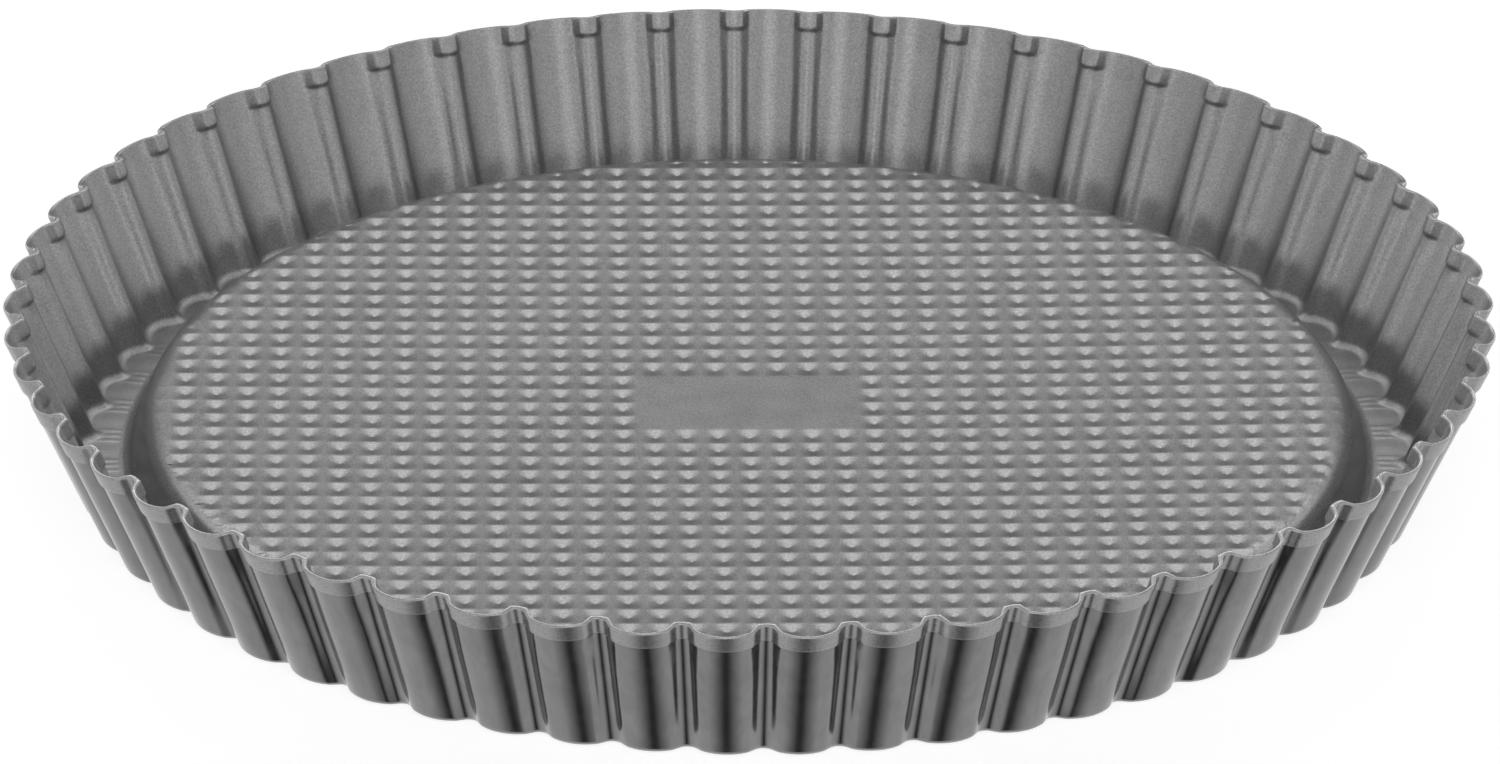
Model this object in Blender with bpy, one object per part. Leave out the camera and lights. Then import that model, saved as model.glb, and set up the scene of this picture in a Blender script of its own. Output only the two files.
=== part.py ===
"""Sponge flan tin in coated steel: one sheet drawn into a fluted dish, with its edge folded into a hem.

The tin stands on the flat channel that runs round the foot of its fluted wall. Inside the channel
the sheet rises to a plateau, which gives the baked sponge its hollow for the filling. Square dimples
are pressed into the plateau's upper face, round a bare panel in its middle.
+Z is up, the origin is the centre of the face it stands on, and one rib of the wall lies at -Y.
"""

import math

import bmesh
import bpy

# The sheet, in metres
SHEET = 0.0005
FOLD_GAP = 0.0003  # between the wall and the hem folded over it

# Overall sizes
RIM_DIAMETER = 0.280  # over the hem, from lobe to opposite lobe
LOBE_HEIGHT = 0.0304  # top of the rim at a lobe
WALL_DRAFT = math.radians(22.8)

# The flutes: broad lobes bowed outwards, with narrow ribs between them that point inwards
FLUTES = 58
FLUTE_DEPTH_RIM = 0.0034
FLUTE_DEPTH_BASE = 0.0027
RIB_RISE = 0.0013  # how much higher the rim stands at a rib than at a lobe
NOSE_RADIUS = 0.0017  # inner face of a rib
CORNER_RADIUS = 0.0013  # inner face, where a lobe turns into the flank of a rib
FLANK_ANGLE = math.radians(62)  # between a flank and the rim's direction
LOBE_ANGLE = math.radians(22)  # the half turn of a lobe's own arc

# The hem
HEM_HEIGHT = 0.0034  # from the rim's top to the hem's lower edge, at a lobe

# The base
HEEL_RADIUS = 0.0026  # outer face, from the wall to the channel
CHANNEL_WIDTH = 0.0036  # flat floor between the ribs' feet and the foot of the riser
FOOT_RADIUS = 0.0020  # upper face, from the channel to the riser
RISER_DRAFT = math.radians(19.7)
SHOULDER_RADIUS = 0.0042  # upper face, from the riser to the plateau
PLATEAU_HEIGHT = 0.0106  # upper face of the plateau

# The square pattern of dimples pressed into the plateau, with a bare panel in its middle
DIMPLE_PITCH = 0.0059
DIMPLE_DEPTH = 0.00035
PATTERN_MARGIN = 0.0035  # from the outermost dimples to the start of the shoulder's round
PANEL_COLUMNS = 7
PANEL_ROWS = 4

# Steps that the rounds are divided into
HEEL_STEPS = 2
FOOT_STEPS = 1
SHOULDER_STEPS = 2

SHARP_EDGE = math.radians(40)  # edges that turn by more than this are shaded as edges


def clear_scene():
    for obj in list(bpy.data.objects):
        bpy.data.objects.remove(obj, do_unlink=True)


def make_material(name, colour, roughness, metallic):
    material = bpy.data.materials.new(name)
    material.use_nodes = True
    shader = material.node_tree.nodes["Principled BSDF"]
    shader.inputs["Base Color"].default_value = (*colour, 1.0)
    shader.inputs["Roughness"].default_value = roughness
    shader.inputs["Metallic"].default_value = metallic
    return material


def half_flute(half_pitch, depth):
    """Half a flute of the inner face, from the middle of a lobe to the middle of a rib.

    It is a lobe arc, a corner arc, a straight flank and a nose arc, each tangent to the next. The
    lobe's radius and the flank's length follow from the pitch and the depth. Returned are four
    points as (distance along the rim, distance inwards, angle of the outline to the rim).
    """
    sin_lobe, cos_lobe = math.sin(LOBE_ANGLE), math.cos(LOBE_ANGLE)
    sin_flank, cos_flank = math.sin(FLANK_ANGLE), math.cos(FLANK_ANGLE)
    run = half_pitch - CORNER_RADIUS * (sin_flank - sin_lobe) - NOSE_RADIUS * sin_flank
    fall = depth - CORNER_RADIUS * (cos_lobe - cos_flank) - NOSE_RADIUS * (1 - cos_flank)
    lobe_radius = (run * sin_flank - fall * cos_flank) / (
        sin_lobe * sin_flank - (1 - cos_lobe) * cos_flank
    )
    middle = (LOBE_ANGLE + FLANK_ANGLE) / 2
    corner = (
        lobe_radius * sin_lobe + CORNER_RADIUS * (math.sin(middle) - sin_lobe),
        lobe_radius * (1 - cos_lobe) + CORNER_RADIUS * (cos_lobe - math.cos(middle)),
        middle,
    )
    nose_start = (
        half_pitch - NOSE_RADIUS * sin_flank,
        depth - NOSE_RADIUS * (1 - cos_flank),
        FLANK_ANGLE,
    )
    return [(0.0, 0.0, 0.0), corner, nose_start, (half_pitch, depth, 0.0)]


def fluted_ring(crest_radius, depth, height, rise=0.0, push=0.0):
    """The points of one level of the wall, six to a flute, starting in the middle of a rib at -Y.

    crest_radius is the inner face at a lobe. push moves the ring along the outline's own outward
    normal, to reach the outer face or the hem.
    """
    pitch_angle = math.tau / FLUTES
    half = half_flute(crest_radius * pitch_angle / 2, depth)
    left = [(-along, inwards, -angle) for along, inwards, angle in half[1:]]
    outline = list(reversed(left)) + half[:-1]
    points = []
    for flute in range(FLUTES):
        crest_angle = -math.pi / 2 + (flute + 0.5) * pitch_angle
        for along, inwards, angle in outline:
            turn = crest_angle + (along + push * math.sin(angle)) / crest_radius
            radius = crest_radius - inwards + push * math.cos(angle)
            level = height + rise * inwards / depth
            points.append((radius * math.cos(turn), radius * math.sin(turn), level))
    return points


def round_ring(radius, height):
    """A plain circle with one point to a flute, each at the angle of a lobe."""
    pitch_angle = math.tau / FLUTES
    turns = [-math.pi / 2 + (flute + 0.5) * pitch_angle for flute in range(FLUTES)]
    return [(radius * math.cos(turn), radius * math.sin(turn), height) for turn in turns]


# The inner face of the wall at a lobe, and the round of the heel below it
RIM_CREST = RIM_DIAMETER / 2 - (2 * SHEET + FOLD_GAP) / math.cos(WALL_DRAFT)
HEEL_INNER = HEEL_RADIUS - SHEET
HEEL_TOP = HEEL_RADIUS - HEEL_INNER * math.sin(WALL_DRAFT)
HEEL_CENTRE = (
    RIM_CREST
    - (LOBE_HEIGHT - HEEL_TOP) * math.tan(WALL_DRAFT)
    - HEEL_INNER * math.cos(WALL_DRAFT)
)

# The riser, worked inwards from the ribs' feet
FOOT_CENTRE = HEEL_CENTRE - FLUTE_DEPTH_BASE - CHANNEL_WIDTH
RISER_FOOT = (
    FOOT_CENTRE - FOOT_RADIUS * math.cos(RISER_DRAFT),
    SHEET + FOOT_RADIUS * (1 - math.sin(RISER_DRAFT)),
)
RISER_TOP_HEIGHT = PLATEAU_HEIGHT - SHOULDER_RADIUS * (1 - math.sin(RISER_DRAFT))
SHOULDER_CENTRE = (
    RISER_FOOT[0]
    - (RISER_TOP_HEIGHT - RISER_FOOT[1]) * math.tan(RISER_DRAFT)
    - SHOULDER_RADIUS * math.cos(RISER_DRAFT)
)


def wall_ring(drop, offset):
    """The ring that lies drop below the rim's top on the straight wall, offset outwards from its inner face.

    The flutes grow shallower and the ribs' extra height fades from the rim down to the heel.
    """
    share = drop / (LOBE_HEIGHT - HEEL_TOP)
    return fluted_ring(
        RIM_CREST - drop * math.tan(WALL_DRAFT),
        FLUTE_DEPTH_RIM + (FLUTE_DEPTH_BASE - FLUTE_DEPTH_RIM) * share,
        LOBE_HEIGHT - drop,
        rise=RIB_RISE * (1 - share),
        push=offset / math.cos(WALL_DRAFT),
    )


def wall_rings(depth_into_sheet):
    """The fluted rings of one face of the sheet, from under the fold down to the channel floor.

    depth_into_sheet is 0 on the inner face and SHEET on the outer one.
    """
    rings = [wall_ring(SHEET + FOLD_GAP, depth_into_sheet)]
    for step in range(HEEL_STEPS + 1):
        angle = WALL_DRAFT + (math.pi / 2 - WALL_DRAFT) * step / HEEL_STEPS
        rings.append(
            fluted_ring(
                HEEL_CENTRE + HEEL_INNER * math.cos(angle),
                FLUTE_DEPTH_BASE,
                HEEL_RADIUS - (HEEL_INNER + depth_into_sheet) * math.sin(angle),
                push=depth_into_sheet * math.cos(angle),
            )
        )
    return rings


def riser_rings(depth_into_sheet):
    """The round rings of one face of the sheet, from the channel floor up to the plateau's edge."""
    rings = []
    foot = FOOT_RADIUS + depth_into_sheet
    for step in range(FOOT_STEPS + 1):
        angle = (math.pi / 2 - RISER_DRAFT) * step / FOOT_STEPS
        rings.append(
            round_ring(
                FOOT_CENTRE - foot * math.sin(angle),
                SHEET + FOOT_RADIUS - foot * math.cos(angle),
            )
        )
    shoulder = SHOULDER_RADIUS - depth_into_sheet
    for step in range(SHOULDER_STEPS + 1):
        angle = RISER_DRAFT + (math.pi / 2 - RISER_DRAFT) * step / SHOULDER_STEPS
        rings.append(
            round_ring(
                SHOULDER_CENTRE + shoulder * math.cos(angle),
                PLATEAU_HEIGHT - SHOULDER_RADIUS + shoulder * math.sin(angle),
            )
        )
    return rings


def add_ring(mesh, points):
    return [mesh.verts.new(point) for point in points]


def loft(mesh, upper, lower):
    """Quads, shaded smooth, between two rings with as many points each."""
    count = len(upper)
    for index in range(count):
        after = (index + 1) % count
        face = mesh.faces.new((upper[index], upper[after], lower[after], lower[index]))
        face.smooth = True


def loft_to_circle(mesh, fluted, circle):
    """Triangles from a fluted ring to a plain circle, each of whose points fans out to its own flute."""
    share = len(fluted) // len(circle)
    for index, hub in enumerate(circle):
        start = index * share
        for step in range(share):
            first = fluted[start + step]
            second = fluted[(start + step + 1) % len(fluted)]
            mesh.faces.new((first, second, hub))
        after = circle[(index + 1) % len(circle)]
        mesh.faces.new((fluted[(start + share) % len(fluted)], after, hub))


def finish_object(name, mesh, material, collection):
    bmesh.ops.recalc_face_normals(mesh, faces=mesh.faces)
    data = bpy.data.meshes.new(name)
    mesh.to_mesh(data)
    mesh.free()
    data.materials.append(material)
    data.set_sharp_from_angle(angle=SHARP_EDGE)
    obj = bpy.data.objects.new(name, data)
    collection.objects.link(obj)
    return obj


def pattern_cells():
    """The (column, row) of each whole cell between the shoulder and the bare panel.

    A column's middle lies at column * DIMPLE_PITCH, and a row starts at row * DIMPLE_PITCH, so that
    the pattern has a dimple's middle on the Y axis and an edge between rows on the X axis.
    """
    limit = SHOULDER_CENTRE - PATTERN_MARGIN
    reach = math.ceil(limit / DIMPLE_PITCH)
    cells = []
    for row in range(-reach, reach):
        for column in range(-reach, reach + 1):
            across, along = abs(column), abs(row + 0.5)
            in_panel = across < PANEL_COLUMNS / 2 and along < PANEL_ROWS / 2
            far_corner = math.hypot(across + 0.5, along + 0.5) * DIMPLE_PITCH
            if far_corner <= limit and not in_panel:
                cells.append((column, row))
    return cells


def emboss_plateau(mesh, edge):
    """The plateau's upper face: four-sided dimples, edge to edge, and plain sheet round and between them."""
    corners = {}
    for column, row in pattern_cells():
        tip = mesh.verts.new(
            (column * DIMPLE_PITCH, (row + 0.5) * DIMPLE_PITCH, PLATEAU_HEIGHT - DIMPLE_DEPTH)
        )
        cell = []
        for across, along in ((0, 0), (1, 0), (1, 1), (0, 1)):
            key = (column + across, row + along)
            if key not in corners:
                x = (key[0] - 0.5) * DIMPLE_PITCH
                corners[key] = mesh.verts.new((x, key[1] * DIMPLE_PITCH, PLATEAU_HEIGHT))
            cell.append(corners[key])
        for first, second in zip(cell, cell[1:] + cell[:1]):
            mesh.faces.new((first, second, tip))
    field = set(corners.values())
    outline = []
    panel = []
    for side in mesh.edges:
        if side.is_boundary and field.issuperset(side.verts):
            middle = (side.verts[0].co + side.verts[1].co) / (2 * DIMPLE_PITCH)
            in_columns = abs(middle.x) < (PANEL_COLUMNS + 1) / 2
            in_rows = abs(middle.y) < (PANEL_ROWS + 1) / 2
            (panel if in_columns and in_rows else outline).append(side)
    bmesh.ops.contextual_create(mesh, geom=panel)
    shoulder = [mesh.edges.get((first, second)) for first, second in zip(edge, edge[1:] + edge[:1])]
    bmesh.ops.triangle_fill(mesh, edges=outline + shoulder, use_beauty=True)


def build_pressed_body(collection, material):
    """The drawn sheet: fluted wall, heel, channel, riser and plateau.

    All of it is one thickness, but for the dimples, which show on the upper face alone.
    """
    mesh = bmesh.new()
    rims = []
    for depth_into_sheet in (0.0, SHEET):
        walls = [add_ring(mesh, points) for points in wall_rings(depth_into_sheet)]
        risers = [add_ring(mesh, points) for points in riser_rings(depth_into_sheet)]
        for upper, lower in zip(walls, walls[1:]):
            loft(mesh, upper, lower)
        loft_to_circle(mesh, walls[-1], risers[0])
        for lower, upper in zip(risers, risers[1:]):
            loft(mesh, lower, upper)
        if depth_into_sheet:
            mesh.faces.new(risers[-1])
        else:
            emboss_plateau(mesh, risers[-1])
        rims.append(walls[0])
    loft(mesh, *rims)
    return finish_object("pressed_body", mesh, material, collection)


def build_rim_hem(collection, material):
    """The sheet's edge, folded over the top of the wall and down its outer face.

    Its section is a hook: the bend starts flush with the wall's inner face, lies FOLD_GAP above the
    wall's top, and turns down into the hem.
    """
    mesh = bmesh.new()
    near = SHEET + FOLD_GAP
    far = near + SHEET
    section = (
        (SHEET, 0.0),
        (0.0, 0.0),
        (0.0, far),
        (HEM_HEIGHT, far),
        (HEM_HEIGHT, near),
        (SHEET, near),
    )
    rings = [add_ring(mesh, wall_ring(drop, offset)) for drop, offset in section]
    for index, ring in enumerate(rings):
        loft(mesh, ring, rings[(index + 1) % len(rings)])
    return finish_object("rim_hem", mesh, material, collection)


def main():
    clear_scene()
    collection = bpy.data.collections.new("sponge_flan_tin")
    bpy.context.scene.collection.children.link(collection)
    coating = make_material("grey_coating", (0.20, 0.20, 0.20), 0.45, 0.6)
    hem_coating = make_material("grey_coating_hem", (0.27, 0.27, 0.27), 0.5, 0.6)
    build_pressed_body(collection, coating)
    build_rim_hem(collection, hem_coating)


main()
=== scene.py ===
"""The looks of a sponge flan tin in coated steel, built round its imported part.

The tin is one drawn sheet with real thickness, made here as three closed pieces: the fluted wall
with the floor of its channel, the raised base with its pressed pattern, and the hem folded over
the rim. Lengths are in metres, +Z is up, and one rib of the wall lies at -Y.
"""

import math

import bpy
import numpy as np
from mathutils import Matrix, Vector


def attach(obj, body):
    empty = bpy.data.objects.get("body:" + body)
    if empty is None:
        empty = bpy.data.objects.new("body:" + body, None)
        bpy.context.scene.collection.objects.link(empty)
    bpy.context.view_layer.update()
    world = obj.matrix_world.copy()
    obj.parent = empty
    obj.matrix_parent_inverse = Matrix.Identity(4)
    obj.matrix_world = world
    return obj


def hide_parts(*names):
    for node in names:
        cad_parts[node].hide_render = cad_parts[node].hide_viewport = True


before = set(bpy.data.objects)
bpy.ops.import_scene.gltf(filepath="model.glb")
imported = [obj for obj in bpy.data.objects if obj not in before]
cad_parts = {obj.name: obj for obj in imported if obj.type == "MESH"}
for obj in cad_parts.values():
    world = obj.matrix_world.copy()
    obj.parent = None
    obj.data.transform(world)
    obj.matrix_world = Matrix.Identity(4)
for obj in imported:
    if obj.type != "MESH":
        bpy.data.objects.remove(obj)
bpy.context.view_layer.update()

# The sheet and the rim
SHEET = 0.00032
FOLD_RADIUS = 0.00035  # outer face of the bend over the rim
RIM_CREST = 0.13945  # inner face at a lobe, at the rim's top
LOBE_HEIGHT = 0.03072
DRAFT = math.radians(23.45)
HEM_LENGTH = 0.00365
HEM_EDGE = 0.0001  # radius of the rounds on the hem's lower edge
# Degrees round the bend, from the inner face, where the rubbing and a painted highlight begin, are
# full, are still full and end
WEAR_AND_HIGHLIGHT_FOLD = (50, 68, 80, 92)

# The flutes
FLUTES = 58
DEPTH_RIM = 0.0031
DEPTH_BASE = 0.0027
RIB_RISE = 0.00102  # how much higher the rim stands at a rib than at a lobe
NOSE_RADIUS = 0.0024  # inner face of a rib
LOBE_ANGLE = math.radians(26)  # the half turn of a lobe's own arc
# Distances down the wall, and there the radius of the corner between a lobe and a flank
CORNER_DOWN = (0.0036, 0.0080)
CORNER_RADIUS = (0.0018, 0.0030)
# Distances down the wall, and there the flanks' angle to the rim
FLANK_DOWN = (0.0032, 0.0045, 0.0080, 0.0125, 0.0210, 0.0262, 0.0290)
FLANK_ANGLE = np.radians((52, 43.5, 44.5, 50, 50, 44, 42))

# The ribs inside the hem, where the doubled sheet makes a broader cap that stands out from the rib
CAP_STAND = 0.00033  # inwards, beyond the plain rib
CAP_HALF_WIDTH = 0.00165
CAP_BOW = 0.0045  # radius of its face
CAP_SIDE = 1.2  # slope of its sides
CAP_EASE = 0.0003  # how softly it meets the plain rib
CAP_END = (0.0029, 0.0041)  # down the wall, where the cap steps back to the plain rib

# The base
HEEL_RADIUS = 0.0026  # outer face
CHANNEL_WIDTH = 0.0036
FOOT_RADIUS = 0.0020  # upper face, from the channel to the riser
RISER_DRAFT = math.radians(19.7)
SHOULDER_RADIUS = 0.0042  # upper face, from the riser to the plateau
PLATEAU = 0.0106
SEAM_GAP = 0.0004  # on the channel's floor, from the foot's round out to the seam of the two pieces
RIPPLES = 4  # on the channel's floor at each flute, where the sheet was gathered
RIPPLE_HEIGHT = 0.00009

# The pressed pattern
PITCH = 0.0059
PATTERN_SHIFT = (-0.0001, 0.00075)
DIMPLE_WIDTH = 0.72  # share of the pitch across, where plain strips lie between the columns
DIMPLE_DEPTH = 0.00052
DIMPLE_NORM = 8.0  # how square the pyramids are
DIMPLE_POINT = 1.2  # how much the facets steepen towards the point
DIMPLE_EASE = 0.06  # how softly they begin, as a share of the half width
PATTERN_FADE = (0.1100, 0.1122)  # radii where the pattern starts to fade and where it is gone
PANEL_COLUMNS = 7
PANEL_ROWS = 4
PANEL_EDGE = 0.1  # half the width of the plain panel's soft edge, in pitches
SAG = 0.00095  # how far the thin base has sunk in the middle
SAG_RADIUS = 0.107  # where the sag begins
SAG_POWER = 1.3

# Steps along half a flute, on the lobe, the corner and the nose
LOBE_STEPS, CORNER_STEPS, NOSE_STEPS = 4, 4, 6
# Distances down the wall where its rings lie
INNER_DOWN = np.array(
    (1.8, 2.8, 3.1, 3.3, 3.5, 3.7, 3.9, 4.2, 6.5, 9, 10.2, 12.5, 17, 21.5, 24, 26.5, 28.5)
) / 1000
OUTER_DOWN = np.array((3.2, 3.6, 4.2, 6.5, 9, 10.2, 12.5, 17, 21.5, 24, 26.5, 28.5)) / 1000
INNER_HEEL_STEPS, OUTER_HEEL_STEPS = 7, 6
FLOOR_SHARES = (0.35, 0.7, 1.0)  # rings on the channel's floor, as shares of the way to the seam
HEM_DOWN = np.array((0.9, 1.6, 2.3, 3.0)) / 1000  # rings on the hem's flat leg
OUTER_BEND_STEPS, INNER_BEND_STEPS, HEM_EDGE_STEPS = 10, 5, 3
# Circles of the base, and points round each
FOOT_STEPS, RISER_STEPS, SHOULDER_STEPS = 7, 3, 8
BASE_POINTS = FLUTES * 6
# The grid that carries the pattern, out over the start of the shoulder: its radius, the gap to the
# innermost circle, and the steps to a pitch on the upper face and on the underside
FIELD_RADIUS = 0.1118
FIELD_GAP = 0.0004
UPPER_STEPS, LOWER_STEPS = 8, 3
SPARE_LINES = 2  # past the radius, since a moved line can come to lie inside it
# Shares of the pitch from a dimple's middle, where the grid's lines lie, across and along
LINES_ACROSS = (0, 0.045, 0.18, 0.36, 0.5)
LINES_ALONG = (0, 0.045, 0.2, 0.42, 0.5)
SHARP_EDGE = math.radians(50)  # edges that turn by more than this are shaded as edges

# Derived sizes, worked down from the rim
HEEL_INNER = HEEL_RADIUS - SHEET
HEEL_TOP = HEEL_RADIUS - HEEL_INNER * math.sin(DRAFT)
WALL_DROP = LOBE_HEIGHT - HEEL_TOP
WALL_LENGTH = WALL_DROP / math.cos(DRAFT)
HEEL_CENTRE = RIM_CREST - WALL_DROP * math.tan(DRAFT) - HEEL_INNER * math.cos(DRAFT)
FOOT_CENTRE = HEEL_CENTRE - DEPTH_BASE - CHANNEL_WIDTH
RISER_FOOT_RADIUS = FOOT_CENTRE - FOOT_RADIUS * math.cos(RISER_DRAFT)
RISER_FOOT_HEIGHT = SHEET + FOOT_RADIUS * (1 - math.sin(RISER_DRAFT))
RISER_TOP_HEIGHT = PLATEAU - SHOULDER_RADIUS * (1 - math.sin(RISER_DRAFT))
SHOULDER_CENTRE = (
    RISER_FOOT_RADIUS
    - (RISER_TOP_HEIGHT - RISER_FOOT_HEIGHT) * math.tan(RISER_DRAFT)
    - SHOULDER_RADIUS * math.cos(RISER_DRAFT)
)
BASE_SEAM = FOOT_CENTRE + SEAM_GAP
FOLD_START = FOLD_RADIUS * (1 - math.sin(DRAFT)) / math.cos(DRAFT)  # down from the rim's top


def smoothstep(low, high, value):
    """0 below low and 1 above high, with a rise of 3 t^2 - 2 t^3 between them."""
    share = np.clip((value - low) / (high - low), 0, 1)
    return share * share * (3 - 2 * share)


def half_outline(half_pitch, depth, flank, corner):
    """Half a flute at each level, from the middle of a lobe to the middle of a rib.

    A lobe arc, a corner arc, a straight flank and a nose arc, each tangent to the next. The lobe's
    radius follows from the pitch, the depth, the flank's angle and the corner's radius, which are
    columns with one row per level. Returned are three arrays, levels by points: the distance along
    the rim, the distance inwards and the outline's angle to the rim.
    """
    sin_lobe, cos_lobe = math.sin(LOBE_ANGLE), math.cos(LOBE_ANGLE)
    sin_flank, cos_flank = np.sin(flank), np.cos(flank)
    run = half_pitch - corner * (sin_flank - sin_lobe) - NOSE_RADIUS * sin_flank
    fall = depth - corner * (cos_lobe - cos_flank) - NOSE_RADIUS * (1 - cos_flank)
    lobe = run * sin_flank - fall * cos_flank
    lobe = lobe / (sin_lobe * sin_flank - (1 - cos_lobe) * cos_flank)

    lobe_angle = LOBE_ANGLE * np.arange(LOBE_STEPS) / LOBE_STEPS + 0 * flank
    corner_angle = LOBE_ANGLE + (flank - LOBE_ANGLE) * np.arange(CORNER_STEPS + 1) / CORNER_STEPS
    nose_angle = flank * (1 - np.arange(NOSE_STEPS + 1) / NOSE_STEPS)
    along_corner = lobe * sin_lobe + corner * (np.sin(corner_angle) - sin_lobe)
    inwards_corner = lobe * (1 - cos_lobe) + corner * (cos_lobe - np.cos(corner_angle))
    along_nose = half_pitch - NOSE_RADIUS * np.sin(nose_angle)
    inwards_nose = depth - NOSE_RADIUS * (1 - np.cos(nose_angle))
    along_flank = (along_corner[:, -1:] + along_nose[:, :1]) / 2
    inwards_flank = (inwards_corner[:, -1:] + inwards_nose[:, :1]) / 2
    inwards_lobe = lobe * (1 - np.cos(lobe_angle))
    along = np.hstack([lobe * np.sin(lobe_angle), along_corner, along_flank, along_nose])
    inwards = np.hstack([inwards_lobe, inwards_corner, inwards_flank, inwards_nose])
    return along, inwards, np.hstack([lobe_angle, corner_angle, flank, nose_angle])


def fluted_rings(section):
    """Rings of points round the tin, levels by points by xyz, from the middle of the rib at -Y.

    section has one row per level: the crest radius and height of the inner face, the slope of its
    normal below the horizontal, the offset outwards from it, the flutes' depth, the ribs' rise,
    the flanks' angle, the corners' radius and the share of the cap inside. A point lies at the
    crest radius less its distance inwards, moved along the outline's own normal by the offset's
    level part, and lowered by its upright part. The cap is the higher of the rib and a bowed face
    with steep sides, and the two are eased into each other.
    """
    columns = np.asarray(section, float).T[:, :, None]
    crest, height, slope, offset, depth, rise, flank, corner, cap = columns
    half_pitch = crest * math.pi / FLUTES
    along, inwards, angle = half_outline(half_pitch, depth, flank, corner)
    from_rib = half_pitch - along
    face = depth + CAP_STAND - from_rib**2 / (2 * CAP_BOW)
    face = face - CAP_SIDE * np.maximum(from_rib - CAP_HALF_WIDTH, 0)
    above = face - inwards
    inwards = inwards + cap * (above + np.sqrt(above**2 + CAP_EASE**2)) / 2
    push = offset * np.cos(slope)
    along, inwards = along + push * np.sin(angle), inwards - push * np.cos(angle)

    level = height - offset * np.sin(slope) + rise * np.clip((inwards + push) / depth, 0, 1)
    turn = np.hstack([-along[:, :0:-1], along[:, :-1]]) / crest
    inwards = np.hstack([inwards[:, :0:-1], inwards[:, :-1]])
    level = np.hstack([level[:, :0:-1], level[:, :-1]])
    crest_angle = -math.pi / 2 + (np.arange(FLUTES) + 0.5) * math.tau / FLUTES
    turns = (crest_angle[None, :, None] + turn[:, None, :]).reshape(len(turn), -1)
    radii = np.tile(crest - inwards, (1, FLUTES))
    levels = np.tile(level, (1, FLUTES))
    return np.stack([radii * np.cos(turns), radii * np.sin(turns), levels], axis=-1)


def section_rows(shape, *columns):
    """The rows that fluted_rings takes, from its nine columns in order."""
    return np.stack([np.broadcast_to(column, shape) for column in columns], axis=1)


def wall_section(down, offset, cap):
    """Rows on the straight wall, down it from the rim's top and outwards from its inner face."""
    down = np.asarray(down, float)
    share = np.clip(down * math.cos(DRAFT) / WALL_DROP, 0, 1)
    return section_rows(
        down.shape,
        RIM_CREST - down * math.sin(DRAFT),
        LOBE_HEIGHT - down * math.cos(DRAFT),
        DRAFT,
        offset,
        DEPTH_RIM + (DEPTH_BASE - DEPTH_RIM) * share,
        RIB_RISE * (1 - share),
        np.interp(down, FLANK_DOWN, FLANK_ANGLE),
        np.interp(down, CORNER_DOWN, CORNER_RADIUS),
        cap,
    )


def heel_section(offset, steps):
    """Rows on the heel's round, a quarter turn less the draft, from the wall to the floor."""
    angle = DRAFT + (math.pi / 2 - DRAFT) * np.arange(1, steps + 1) / steps
    return section_rows(
        angle.shape,
        HEEL_CENTRE + HEEL_INNER * np.cos(angle),
        HEEL_RADIUS - HEEL_INNER * np.sin(angle),
        angle,
        offset,
        DEPTH_BASE,
        0,
        FLANK_ANGLE[-1],
        CORNER_RADIUS[-1],
        0,
    )


def floor_rings(outline):
    """Rings on the channel's flat floor, blended in radius from the heel's outline to the seam.

    Shallow ripples run across it: half their height times 1 + cosine of the turn, and times the
    sine of half a turn over the way across, which is nothing at both ends.
    """
    radius = np.hypot(outline[:, 0], outline[:, 1])
    shares = np.array(FLOOR_SHARES)[:, None]
    scale = 1 + shares * (BASE_SEAM / radius - 1)
    flat = outline[None, :, :] * np.stack([scale, scale, np.ones_like(scale)], axis=-1)
    turn = np.arange(len(outline)) * FLUTES * RIPPLES * math.tau / len(outline)
    flat[..., 2] += RIPPLE_HEIGHT / 2 * (1 + np.cos(turn)) * np.sin(math.pi * shares)
    return flat


def round_rings(radius, height):
    """Plain circles, one per radius and height, starting at -Y."""
    turns = -math.pi / 2 + math.tau * np.arange(BASE_POINTS) / BASE_POINTS
    radius, height = radius[:, None], height[:, None]
    circles = [radius * np.cos(turns), radius * np.sin(turns), height + 0 * turns]
    return np.stack(circles, axis=-1)


def ring_quads(levels, points, closed):
    """Quads between neighbouring rings, and from the last to the first on a closed section."""
    level = np.arange(levels if closed else levels - 1)[:, None]
    point = np.arange(points)[None, :]
    below = (level + 1) % levels * points
    beside = (point + 1) % points
    level = level * points
    corners = [level + point, level + beside, below + beside, below + point]
    return np.stack(corners, axis=-1).reshape(-1, 4)


def signed_volume(points, faces):
    """The volume inside a closed set of faces, negative where they point inwards."""
    first = points[faces[:, 0]]
    total = 0.0
    for step in range(1, faces.shape[1] - 1):
        second, third = points[faces[:, step]], points[faces[:, step + 1]]
        total += np.einsum("ij,ij->", first, np.cross(second, third)) / 6
    return total


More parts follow.
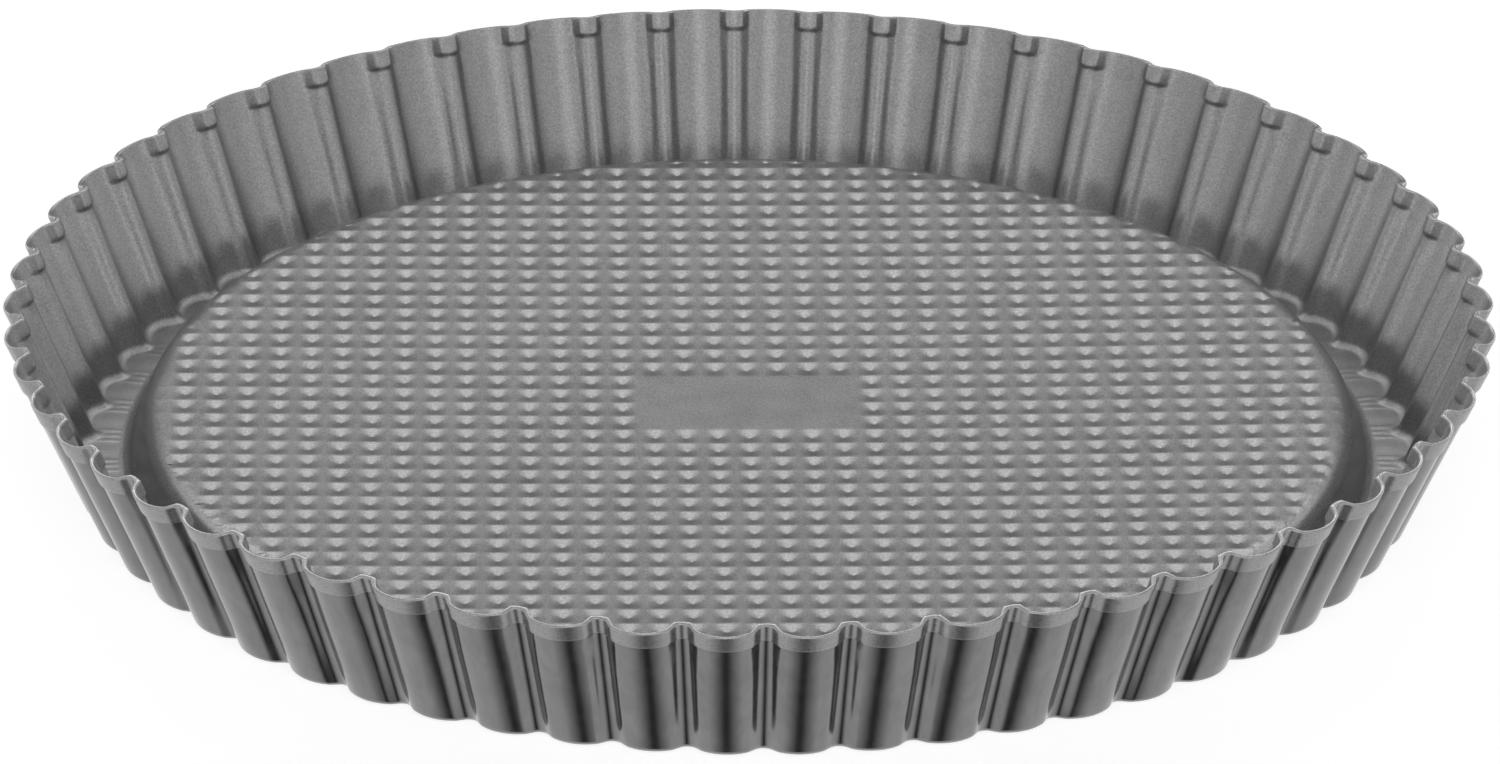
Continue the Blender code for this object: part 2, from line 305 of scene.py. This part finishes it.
def make_piece(name, points, quads, quad_finish, finishes, triangles=None, triangle_finish=()):
    """An object of quads and triangles, turned to face outwards and smooth but for its sharp edges.

    quad_finish and triangle_finish hold, for each face, its place in the list of finishes.
    """
    if triangles is None:
        triangles = np.zeros((0, 3), int)
    if signed_volume(points, quads) + signed_volume(points, triangles) < 0:
        quads, triangles = quads[:, ::-1], triangles[:, ::-1]
    mesh = bpy.data.meshes.new(name)
    mesh.vertices.add(len(points))
    mesh.vertices.foreach_set("co", points.astype(np.float32).ravel())
    corners = np.concatenate([quads.ravel(), triangles.ravel()]).astype(np.int32)
    sizes = np.concatenate([np.full(len(quads), 4), np.full(len(triangles), 3)])
    mesh.loops.add(len(corners))
    mesh.loops.foreach_set("vertex_index", corners)
    mesh.polygons.add(len(sizes))
    mesh.polygons.foreach_set("loop_start", (np.cumsum(sizes) - sizes).astype(np.int32))
    for finish in finishes:
        mesh.materials.append(finish)
    face_finish = np.concatenate([quad_finish, triangle_finish]).astype(np.int32)
    mesh.polygons.foreach_set("material_index", face_finish)
    mesh.update(calc_edges=True)
    mesh.validate()
    mesh.polygons.foreach_set("use_smooth", np.ones(len(sizes), bool))
    mesh.set_sharp_from_angle(angle=SHARP_EDGE)
    piece = bpy.data.objects.new(name, mesh)
    bpy.context.scene.collection.objects.link(piece)
    return piece


def wall_face(offset, down, heel_steps, cap_height):
    """One face of the wall: rings down from the fold, round the heel and over the channel."""
    down = np.concatenate([[FOLD_START], down, [WALL_LENGTH]])
    cap = cap_height * (1 - smoothstep(*CAP_END, down))
    section = np.vstack([wall_section(down, offset, cap), heel_section(offset, heel_steps)])
    rings = fluted_rings(section)
    return np.concatenate([rings, floor_rings(rings[-1])])


def build_wall(inside, outside):
    """The wall from the fold down, with its heel and the channel's floor, and back up outside."""
    inner = wall_face(0.0, INNER_DOWN, INNER_HEEL_STEPS, 1.0)
    outer = wall_face(SHEET, OUTER_DOWN, OUTER_HEEL_STEPS, 0.0)
    rings = np.concatenate([inner, outer[::-1]])
    levels, points = rings.shape[:2]
    finish = np.repeat(np.arange(levels) >= len(inner) - 1, points)
    quads = ring_quads(levels, points, closed=True)
    return make_piece("fluted_wall", rings.reshape(-1, 3), quads, finish, [inside, outside])


def build_hem(coating):
    """The folded edge: a half turn over the rim and a flat leg outside, with a small gap behind.

    The section is worked out as offsets from the wall's inner face and distances down it. The bend
    is a half circle outside and a smaller one inside, and the leg's lower edge is eased. The points
    of the outer bend carry the share of their rubbing and painted highlight in the attribute fold.
    """
    outer_turn = np.linspace(0, math.pi, OUTER_BEND_STEPS + 1)
    inner_turn = np.linspace(0, math.pi, INNER_BEND_STEPS + 1)
    quarter = np.linspace(0, math.pi / 2, HEM_EDGE_STEPS + 1)
    inner_radius = FOLD_RADIUS - SHEET
    outer_offset = 2 * FOLD_RADIUS
    inner_offset = outer_offset - SHEET
    edge_down = HEM_LENGTH - HEM_EDGE
    outer_bend = (
        FOLD_RADIUS - FOLD_RADIUS * np.cos(outer_turn),
        FOLD_START - FOLD_RADIUS * np.sin(outer_turn),
    )
    outer_leg = (0 * HEM_DOWN + outer_offset, HEM_DOWN)
    outer_edge = (
        outer_offset - HEM_EDGE + HEM_EDGE * np.cos(quarter),
        edge_down + HEM_EDGE * np.sin(quarter),
    )
    inner_edge = (
        inner_offset + HEM_EDGE - HEM_EDGE * np.sin(quarter),
        edge_down + HEM_EDGE * np.cos(quarter),
    )
    inner_leg = (0 * HEM_DOWN + inner_offset, HEM_DOWN[::-1])
    inner_bend = (
        FOLD_RADIUS + inner_radius * np.cos(inner_turn),
        FOLD_START - inner_radius * np.sin(inner_turn),
    )
    stretches = [outer_bend, outer_leg, outer_edge, inner_edge, inner_leg, inner_bend]
    offset, down = np.concatenate(stretches, axis=1)
    rings = fluted_rings(wall_section(down, offset, 1 - smoothstep(0, outer_offset, offset)))
    levels, points = rings.shape[:2]
    quads = ring_quads(levels, points, closed=True)
    piece = make_piece("folded_hem", rings.reshape(-1, 3), quads, np.zeros(len(quads)), [coating])
    # The share of rubbing and painted highlight round the outer bend
    rubbing_and_highlight = np.zeros(levels)
    rubbing_and_highlight[: len(outer_turn)] = np.interp(np.degrees(outer_turn), WEAR_AND_HIGHLIGHT_FOLD, (0, 1, 1, 0))
    fold = piece.data.attributes.new("fold", "FLOAT", "POINT")
    fold.data.foreach_set("value", np.repeat(rubbing_and_highlight, points).astype(np.float32))
    return piece


def dimple_height(x, y):
    """The plateau's pressed pattern and its sag, in metres below its plain level.

    Each cell holds a four-sided pyramid, pressed down. r is the rounded-square distance from the
    cell's middle in half widths, and the sheet goes down by the depth times 1 - r, eased to
    nothing past the pyramid's edge and raised to a power that sharpens its point. The pattern
    fades out on the shoulder and leaves a plain panel in the middle. The sag is a shallow bowl:
    its depth times 1 - (radius / SAG_RADIUS)^2, raised to SAG_POWER.
    """
    across = (x - PATTERN_SHIFT[0]) / PITCH
    along = (y - PATTERN_SHIFT[1]) / PITCH
    u = 2 * np.abs(across - np.round(across)) / DIMPLE_WIDTH
    v = 2 * np.abs(along - 0.5 - np.round(along - 0.5))
    reach = 1 - (u**DIMPLE_NORM + v**DIMPLE_NORM) ** (1 / DIMPLE_NORM)
    eased = (reach + np.sqrt(reach**2 + DIMPLE_EASE**2)) / 2
    half_columns, half_rows = PANEL_COLUMNS / 2, PANEL_ROWS / 2
    outside_panel = np.maximum(
        smoothstep(half_columns - PANEL_EDGE, half_columns + PANEL_EDGE, np.abs(across)),
        smoothstep(half_rows - PANEL_EDGE, half_rows + PANEL_EDGE, np.abs(along)),
    )
    radius = np.hypot(x, y)
    share = outside_panel * (1 - smoothstep(*PATTERN_FADE, radius))
    sag = SAG * np.clip(1 - (radius / SAG_RADIUS) ** 2, 0, 1) ** SAG_POWER
    return -DIMPLE_DEPTH * eased**DIMPLE_POINT * share - sag


def grid_lines(per_cell, middle, stops):
    """Lines in pitches, from even steps moved towards the points and edges of the dimples.

    middle is where a dimple's middle lies in its pitch. A line's distance from the nearest middle
    is read off the stops, which stand at even steps from 0 to 0.5.
    """
    reach = math.ceil(FIELD_RADIUS * per_cell / PITCH) + SPARE_LINES
    even = np.arange(-reach, reach + 1) / per_cell
    nearest = np.round(even - middle) + middle
    away = even - nearest
    even_stops = np.linspace(0, 0.5, len(stops))
    return nearest + np.sign(away) * np.interp(np.abs(away), even_stops, stops)


def pattern_field(per_cell, offset):
    """The pattern's grid over the plateau, inside the field's radius.

    Its height is the plateau's, and past the plateau's edge the shoulder's round, plus the
    pattern. Returned are the points, the quads and the border's points in order of angle.
    """
    across = grid_lines(per_cell, 0.0, LINES_ACROSS) * PITCH + PATTERN_SHIFT[0]
    along = grid_lines(per_cell, 0.5, LINES_ALONG) * PITCH + PATTERN_SHIFT[1]
    x, y = np.meshgrid(across, along, indexing="ij")
    # Held at half the round's radius, past which no point is kept
    over_shoulder = np.clip(np.hypot(x, y) - SHOULDER_CENTRE, 0, SHOULDER_RADIUS / 2)
    z = PLATEAU - SHOULDER_RADIUS + np.sqrt((SHOULDER_RADIUS - offset) ** 2 - over_shoulder**2)
    z += dimple_height(x, y)
    inside = np.hypot(x, y) <= FIELD_RADIUS
    kept = inside[:-1, :-1] & inside[1:, :-1] & inside[1:, 1:] & inside[:-1, 1:]
    number = np.arange(x.size).reshape(x.shape)
    corners = (number[:-1, :-1], number[1:, :-1], number[1:, 1:], number[:-1, 1:])
    quads = np.stack([corner[kept] for corner in corners], axis=1)
    # How many kept quads meet at each point: fewer than four of them on the border
    around = np.zeros(x.shape, int)
    for column in (0, 1):
        for row in (0, 1):
            around[column : column + kept.shape[0], row : row + kept.shape[1]] += kept
    used = around > 0
    border = used & (around < 4)
    renumber = np.cumsum(used.ravel()) - 1
    points = np.stack([x[used], y[used], z[used]], axis=1)
    loop = number[border]
    loop = loop[np.argsort(np.arctan2(y.ravel()[loop], x.ravel()[loop]))]
    return points, renumber[quads], renumber[loop]


def zip_loops(points, inner, outer):
    """Triangles between two loops round the middle.

    Each edge is joined to the other loop's last point, by angle, before the edge's own end.
    """
    inner_turn = np.arctan2(points[inner, 1], points[inner, 0])
    outer_turn = np.arctan2(points[outer, 1], points[outer, 0])
    inner, inner_turn = inner[np.argsort(inner_turn)], np.sort(inner_turn)
    outer, outer_turn = outer[np.argsort(outer_turn)], np.sort(outer_turn)
    inner_next, outer_next = np.roll(inner, -1), np.roll(outer, -1)
    meets_outer = outer[np.searchsorted(outer_turn, np.roll(inner_turn, -1), side="left") - 1]
    meets_inner = inner[np.searchsorted(inner_turn, np.roll(outer_turn, -1), side="right") - 1]
    inwards = np.stack([inner, meets_outer, inner_next], axis=1)
    outwards = np.stack([outer, outer_next, meets_inner], axis=1)
    return np.concatenate([inwards, outwards])


def base_face(offset, per_cell):
    """One face of the raised base: circles over the foot, riser and shoulder, then the grid.

    The rounds are arcs about the foot's and the shoulder's centres, and the riser is straight
    between them. Returned are the points, the quads and the triangles between circles and grid.
    """
    foot = FOOT_RADIUS + offset
    shoulder = SHOULDER_RADIUS - offset
    foot_turn = (math.pi / 2 - RISER_DRAFT) * np.arange(FOOT_STEPS + 1) / FOOT_STEPS
    last_turn = math.acos((FIELD_RADIUS + FIELD_GAP - SHOULDER_CENTRE) / shoulder)
    shoulder_turn = np.linspace(RISER_DRAFT, last_turn, SHOULDER_STEPS + 1)
    foot_radius = FOOT_CENTRE - foot * np.sin(foot_turn)
    foot_height = SHEET + FOOT_RADIUS - foot * np.cos(foot_turn)
    shoulder_radius = SHOULDER_CENTRE + shoulder * np.cos(shoulder_turn)
    shoulder_height = PLATEAU - SHOULDER_RADIUS + shoulder * np.sin(shoulder_turn)
    up = np.arange(1, RISER_STEPS) / RISER_STEPS
    riser_radius = foot_radius[-1] + (shoulder_radius[0] - foot_radius[-1]) * up
    riser_height = foot_height[-1] + (shoulder_height[0] - foot_height[-1]) * up
    radii = np.concatenate([[BASE_SEAM], foot_radius, riser_radius, shoulder_radius])
    heights = np.concatenate([[SHEET - offset], foot_height, riser_height, shoulder_height])
    rings = round_rings(radii, heights)
    rings[..., 2] += dimple_height(rings[..., 0], rings[..., 1])
    quads = ring_quads(len(rings), BASE_POINTS, closed=False)
    field, field_quads, loop = pattern_field(per_cell, offset)
    points = np.concatenate([rings.reshape(-1, 3), field])
    count = len(points) - len(field)
    seam = zip_loops(points, loop + count, np.arange(count - BASE_POINTS, count))
    return points, np.concatenate([quads, field_quads + count]), seam


def build_base(inside, outside):
    """The raised base: its upper face, its underside with the pattern standing out, its edge."""
    upper, upper_quads, upper_seam = base_face(0.0, UPPER_STEPS)
    lower, lower_quads, lower_seam = base_face(SHEET, LOWER_STEPS)
    first = np.arange(BASE_POINTS)
    beside = (first + 1) % BASE_POINTS
    count = len(upper)
    edge = np.stack([first + count, beside + count, beside, first], axis=1)
    points = np.concatenate([upper, lower])
    quads = np.concatenate([upper_quads, lower_quads[:, ::-1] + count, edge])
    quad_finish = np.arange(len(quads)) >= len(upper_quads)
    triangles = np.concatenate([upper_seam, lower_seam[:, ::-1] + count])
    triangle_finish = np.arange(len(triangles)) >= len(upper_seam)
    return make_piece(
        "raised_base", points, quads, quad_finish, [inside, outside], triangles, triangle_finish
    )


# The coatings. Scales are grains per metre, and bump heights are metres
COATING_METALLIC = 0.75
SPECKLE_SCALE, SPECKLE_HEIGHT = 2600, 0.000012
SPECKLE_ROUGHNESS = 0.7  # how much of the speckle's finer grain shows
CLOUD_SCALE = 130
CLOUD_GREY, CLOUD_GLOSS = 0.015, 0.05  # how far the cloudiness moves the grey and the roughness
BASE_GREYS, BASE_ROUGHNESS = (0.20, 0.38), 0.27
WALL_GREYS, WALL_ROUGHNESS = (0.22, 0.37), 0.35
LACQUER_METALLIC = 0.8
LACQUER_GREYS, LACQUER_ROUGHNESS = (0.195, 0.225), (0.16, 0.20)
LACQUER_CLOUD_SCALE = 160
LINE_SCALE, LINE_STRETCH = 900, (1, 1, 0.06)  # of the drawing lines down the wall
LINE_GREY, LINE_HEIGHT = 0.012, 0.000008
HEM_GREYS, HEM_ROUGHNESS = (0.27, 0.37), (0.27, 0.33)
HEM_SPECKLE_SCALE, HEM_SPECKLE_HEIGHT = 2200, 0.000005
PAINTED_HIGHLIGHT_GREY, WORN_GLOSS = 0.25, 0.07  # how much paler the top of the fold is painted, as a painted highlight, and how much smoother it is rubbed


class Nodes:
    """A node tree, with short calls for the few kinds of node that finishes and studio need."""

    def __init__(self, tree):
        self.tree = tree

    def node(self, kind):
        return self.tree.nodes.new("ShaderNode" + kind)

    def feed(self, socket, value):
        """Sets a socket to a number, which is a grey for a colour's socket, or links an output."""
        if not isinstance(value, (int, float)):
            self.tree.links.new(value, socket)
        elif socket.type == "RGBA":
            socket.default_value = (value, value, value, 1)
        else:
            socket.default_value = value

    def combine(self, operation, first, second=0.0):
        node = self.node("Math")
        node.operation = operation
        self.feed(node.inputs[0], first)
        self.feed(node.inputs[1], second)
        return node.outputs["Value"]

    def spread(self, source, low, high, to_low, to_high):
        """Maps source from low..high to to_low..to_high, held at the ends."""
        node = self.node("MapRange")
        sockets = ("Value", "From Min", "From Max", "To Min", "To Max")
        for socket, value in zip(sockets, (source, low, high, to_low, to_high)):
            self.feed(node.inputs[socket], value)
        return node.outputs["Result"]

    def mix(self, share, first, second):
        """A colour that goes from the first to the second as the share rises from 0 to 1."""
        node = self.node("Mix")
        node.data_type = "RGBA"
        self.feed(node.inputs[0], share)
        colours = [socket for socket in node.inputs if socket.type == "RGBA"]
        self.feed(colours[0], first)
        self.feed(colours[1], second)
        return next(socket for socket in node.outputs if socket.type == "RGBA")


class Finish(Nodes):
    """A coating: its material's nodes, with a metallic share and patterns on Object coordinates."""

    GRAIN_SPREAD = (0.3, 0.7)  # nearly all of a noise's values lie between these

    def __init__(self, name, metallic):
        self.material = bpy.data.materials.new(name)
        self.material.use_nodes = True
        super().__init__(self.material.node_tree)
        self.shader = self.tree.nodes["Principled BSDF"]
        self.shader.inputs["Metallic"].default_value = metallic
        self.place = self.node("TexCoord").outputs["Object"]

    def noise(self, scale, detail, roughness=0.5, stretch=None):
        """Noise with scale in grains per metre, and with an optional stretch per axis."""
        node = self.node("TexNoise")
        node.inputs["Scale"].default_value = scale
        node.inputs["Detail"].default_value = detail
        node.inputs["Roughness"].default_value = roughness
        place = self.place
        if stretch:
            mapping = self.node("Mapping")
            mapping.inputs["Scale"].default_value = stretch
            self.feed(mapping.inputs["Vector"], self.place)
            place = mapping.outputs["Vector"]
        self.feed(node.inputs["Vector"], place)
        return node.outputs["Fac"]

    def attribute(self, name):
        node = self.node("Attribute")
        node.attribute_name = name
        return node.outputs["Fac"]

    def grained(self, noise, low, high):
        """Spreads a noise over low..high."""
        return self.spread(noise, *self.GRAIN_SPREAD, low, high)

    def set_grey(self, value):
        """Sends a value to the base colour as a neutral grey."""
        node = self.node("CombineColor")
        for channel in ("Red", "Green", "Blue"):
            self.feed(node.inputs[channel], value)
        self.feed(self.shader.inputs["Base Color"], node.outputs["Color"])

    def set_roughness(self, value):
        self.feed(self.shader.inputs["Roughness"], value)

    def set_bump(self, height, distance):
        node = self.node("Bump")
        node.inputs["Strength"].default_value = 1.0
        node.inputs["Distance"].default_value = distance
        self.feed(node.inputs["Height"], height)
        self.feed(self.shader.inputs["Normal"], node.outputs["Normal"])


def make_inside_coating(name, greys, roughness):
    """The matte grey coating inside: fine metallic speckle in a grey film, with soft cloudiness.

    greys are the base colour's ends over the speckle, and roughness is that of its smoothest parts.
    """
    finish = Finish(name, COATING_METALLIC)
    speckle = finish.noise(SPECKLE_SCALE, detail=2.0, roughness=SPECKLE_ROUGHNESS)
    cloud = finish.noise(CLOUD_SCALE, detail=3.0)
    speckled = finish.grained(speckle, *greys)
    clouded = finish.grained(cloud, -CLOUD_GREY, CLOUD_GREY)
    finish.set_grey(finish.combine("ADD", speckled, clouded))
    finish.set_roughness(finish.grained(cloud, roughness, roughness + CLOUD_GLOSS))
    finish.set_bump(speckle, SPECKLE_HEIGHT)
    return finish.material


def make_outside_coating():
    """The darker lacquer outside: smooth and glossier, with faint drawing lines down the wall."""
    finish = Finish("outside_lacquer", LACQUER_METALLIC)
    cloud = finish.noise(LACQUER_CLOUD_SCALE, detail=3.0)
    lines = finish.noise(LINE_SCALE, detail=2.0, stretch=LINE_STRETCH)
    clouded = finish.grained(cloud, *LACQUER_GREYS)
    lined = finish.grained(lines, -LINE_GREY, LINE_GREY)
    finish.set_grey(finish.combine("ADD", clouded, lined))
    finish.set_roughness(finish.grained(lines, *LACQUER_ROUGHNESS))
    finish.set_bump(lines, LINE_HEIGHT)
    return finish.material


def make_hem_coating():
    """The inside coating, shown outside on the folded hem: matte and finely speckled.

    Along the top of the bend it is painted paler, as a painted highlight, and rubbed smoother, by
    the share in the attribute fold.
    """
    finish = Finish("hem_coating", COATING_METALLIC)
    speckle = finish.noise(HEM_SPECKLE_SCALE, detail=2.0, roughness=SPECKLE_ROUGHNESS)
    highlight_and_rubbing = finish.attribute("fold")
    # A painted highlight: the top of the bend is painted a paler grey
    painted_highlight = finish.spread(highlight_and_rubbing, 0, 1, 0, PAINTED_HIGHLIGHT_GREY)
    smoother = finish.spread(highlight_and_rubbing, 0, 1, 0, WORN_GLOSS)
    finish.set_grey(finish.combine("ADD", finish.grained(speckle, *HEM_GREYS), painted_highlight))
    rough = finish.grained(speckle, *HEM_ROUGHNESS)
    finish.set_roughness(finish.combine("SUBTRACT", rough, smoother))
    finish.set_bump(speckle, HEM_SPECKLE_HEIGHT)
    return finish.material


# The camera, as a pinhole fitted to the photograph
IMAGE_WIDTH = 1500
FOCAL_PIXELS = 10465.0
SENSOR_WIDTH = 36.0
CLIP_NEAR, CLIP_FAR = 0.1, 30.0
CAMERA_DISTANCE = 1.9797
CAMERA_AIM_HEIGHT = -0.0007  # on the Z axis, where its distance and direction are taken from
CAMERA_ELEVATION = math.radians(25.718)
CAMERA_AZIMUTH = math.radians(-91.46)
CAMERA_PITCH = math.radians(0.392)
CAMERA_YAW = math.radians(0.008)
CAMERA_ROLL = math.radians(0.486)


def direction(azimuth, elevation):
    """The unit vector that points to an azimuth and an elevation, both in radians."""
    level = math.cos(elevation)
    return Vector((level * math.cos(azimuth), level * math.sin(azimuth), math.sin(elevation)))


def make_camera():
    """A pinhole at its distance from the aim point, pitched up, yawed and rolled as fitted."""
    data = bpy.data.cameras.new("camera")
    data.sensor_width = SENSOR_WIDTH
    data.lens = FOCAL_PIXELS * SENSOR_WIDTH / IMAGE_WIDTH
    data.clip_start, data.clip_end = CLIP_NEAR, CLIP_FAR
    outwards = direction(CAMERA_AZIMUTH, CAMERA_ELEVATION)
    place = Vector((0, 0, CAMERA_AIM_HEIGHT)) + CAMERA_DISTANCE * outwards
    forward = direction(CAMERA_AZIMUTH + math.pi - CAMERA_YAW, CAMERA_PITCH - CAMERA_ELEVATION)
    level_right = forward.cross(Vector((0, 0, 1))).normalized()
    level_up = level_right.cross(forward)
    right = level_right * math.cos(CAMERA_ROLL) + level_up * math.sin(CAMERA_ROLL)
    up = level_up * math.cos(CAMERA_ROLL) - level_right * math.sin(CAMERA_ROLL)
    camera = bpy.data.objects.new("camera", data)
    axes = Matrix((right, up, -forward)).transposed().to_4x4()
    camera.matrix_world = Matrix.Translation(place) @ axes
    bpy.context.scene.collection.objects.link(camera)
    bpy.context.scene.camera = camera


# The studio as the object's gloss sees it. Heights are the sines of elevations.
# White below and low down all round, then a dim band, then a pale ceiling
DIM_BAND = (0.25, 0.45)
DIM_LEVEL = 0.33
CEILING_LEVEL = 0.95
BAND_EDGE = 0.02  # half the height of a band's soft edge
# A dark shade below the horizon, towards the camera: half widths where it is full and where it ends
SHADE = (0.05, 0.40)
# A dark strip straight behind the tin: its heights, where it starts and is full, and its level
BACK_SHADE = (0.03, 0.24)
BACK_SHADE_START = (0.7, 0.9)
BACK_SHADE_LEVEL = 0.12
FILL_LEVEL = 0.10  # of the even light that reaches the surfaces from all round

FLOOR_REACH = 9.0
FLOOR_HEIGHT = -0.0001
PAPER_GREY = 0.8
PAPER_GLOW = 0.78  # seen by the camera alone, so that the paper is white and still shows the shadow

LAMP_DISTANCE = 3.0
# Soft boxes, aimed at the origin: azimuth, elevation, width, height, radiance
SOFT_BOXES = {
    "back_soft_box": (90, 42, 2.4, 0.6, 1.9),
    "back_left_soft_box": (140, 35, 1.6, 1.2, 0.6),
    "back_right_soft_box": (40, 35, 1.6, 1.2, 0.6),
    "front_soft_box": (-90, 33, 1.6, 2.0, 1.4),
    "low_back_left_strip": (135, 10, 2.2, 0.5, 2.7),
    "low_back_right_strip": (45, 10, 2.2, 0.5, 2.7),
    "low_front_left_strip": (-135, 10, 2.2, 0.5, 1.9),
    "low_front_right_strip": (-45, 10, 2.2, 0.5, 1.9),
    "low_left_strip": (180, 10, 2.2, 0.5, 0.6),
    "low_right_strip": (0, 10, 2.2, 0.5, 0.6),
}


def make_world():
    """Even fill light, and for the gloss a white backdrop with its bands and shades.

    The backdrop is the bands' level, by height, times 0 to 1 in the shade towards the camera, and
    times 1 less the strip's share behind the tin. The camera sees plain white.
    """
    world = bpy.data.worlds.new("studio")
    bpy.context.scene.world = world
    world.use_nodes = True
    nodes = Nodes(world.node_tree)
    split = nodes.node("SeparateXYZ")
    nodes.feed(split.inputs["Vector"], nodes.node("TexCoord").outputs["Generated"])
    sideways, back, height = (split.outputs[axis] for axis in "XYZ")

    def band_edge(place, below, above):
        return nodes.spread(height, place - BAND_EDGE, place + BAND_EDGE, below, above)

    dim_from, dim_to = DIM_BAND
    into_dim = band_edge(dim_from, 1.0, DIM_LEVEL)
    into_ceiling = band_edge(dim_to, 0.0, CEILING_LEVEL - DIM_LEVEL)
    bands = nodes.combine("ADD", into_dim, into_ceiling)

    beside = nodes.spread(nodes.combine("ABSOLUTE", sideways), *SHADE, 0.0, 1.0)
    behind = nodes.combine("GREATER_THAN", back, 0.0)
    above = nodes.combine("GREATER_THAN", height, 0.0)
    unshaded = nodes.combine("MAXIMUM", beside, nodes.combine("MAXIMUM", behind, above))

    strip_from, strip_to = BACK_SHADE
    above_start, below_end = band_edge(strip_from, 0.0, 1.0), band_edge(strip_to, 1.0, 0.0)
    strip_back = nodes.spread(back, *BACK_SHADE_START, 0.0, 1.0 - BACK_SHADE_LEVEL)
    strip = nodes.combine("MULTIPLY", nodes.combine("MULTIPLY", above_start, below_end), strip_back)

    in_gloss = nodes.combine("MULTIPLY", bands, unshaded)
    in_gloss = nodes.combine("MULTIPLY", in_gloss, nodes.combine("SUBTRACT", 1.0, strip))
    ray = nodes.node("LightPath").outputs
    glossy = nodes.combine("MAXIMUM", ray["Is Glossy Ray"], ray["Is Transmission Ray"])
    unseen = nodes.mix(glossy, FILL_LEVEL, in_gloss)
    seen = nodes.mix(ray["Is Camera Ray"], unseen, 1.0)
    nodes.feed(nodes.tree.nodes["Background"].inputs["Color"], seen)


def make_floor():
    """Pale paper, with a glow for the camera alone. The gloss sees the white below instead."""
    mesh = bpy.data.meshes.new("studio_floor")
    corners = [(-1, -1), (1, -1), (1, 1), (-1, 1)]
    corners = [(x * FLOOR_REACH, y * FLOOR_REACH, FLOOR_HEIGHT) for x, y in corners]
    mesh.from_pydata(corners, [], [(0, 1, 2, 3)])
    floor = bpy.data.objects.new("studio_floor", mesh)
    bpy.context.scene.collection.objects.link(floor)
    paper = bpy.data.materials.new("pale_paper")
    paper.use_nodes = True
    nodes = Nodes(paper.node_tree)
    nodes.tree.nodes.remove(nodes.tree.nodes["Principled BSDF"])
    diffuse = nodes.node("BsdfDiffuse")
    nodes.feed(diffuse.inputs["Color"], PAPER_GREY)
    glow = nodes.node("Emission")
    camera_ray = nodes.node("LightPath").outputs["Is Camera Ray"]
    nodes.feed(glow.inputs["Color"], nodes.mix(camera_ray, 0.0, PAPER_GLOW))
    both = nodes.node("AddShader")
    nodes.feed(both.inputs[0], diffuse.outputs["BSDF"])
    nodes.feed(both.inputs[1], glow.outputs["Emission"])
    nodes.feed(nodes.tree.nodes["Material Output"].inputs["Surface"], both.outputs["Shader"])
    mesh.materials.append(paper)
    floor.visible_glossy = False


def make_lamps():
    """The soft boxes. Each one's power is its radiance times pi times its area."""
    for name, (azimuth, elevation, width, height, radiance) in SOFT_BOXES.items():
        data = bpy.data.lights.new(name, "AREA")
        data.shape = "RECTANGLE"
        data.size, data.size_y = width, height
        data.energy = radiance * math.pi * width * height
        lamp = bpy.data.objects.new(name, data)
        outwards = direction(math.radians(azimuth), math.radians(elevation))
        lamp.location = outwards * LAMP_DISTANCE
        lamp.rotation_euler = outwards.to_track_quat("Z", "Y").to_euler()
        lamp.visible_camera = False
        bpy.context.scene.collection.objects.link(lamp)


def main():
    make_camera()
    base_coating = make_inside_coating("inside_coating", BASE_GREYS, BASE_ROUGHNESS)
    wall_coating = make_inside_coating("inside_coating_drawn", WALL_GREYS, WALL_ROUGHNESS)
    outside_lacquer = make_outside_coating()
    hem_coating = make_hem_coating()

    wall = build_wall(wall_coating, outside_lacquer)
    base = build_base(base_coating, outside_lacquer)
    hem = build_hem(hem_coating)
    for piece in (wall, base):
        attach(piece, "root")
        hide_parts("pressed_body")
    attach(hem, "root")
    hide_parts("rim_hem")

    make_world()
    make_floor()
    make_lamps()
    bpy.context.scene.view_settings.view_transform = "Standard"


main()
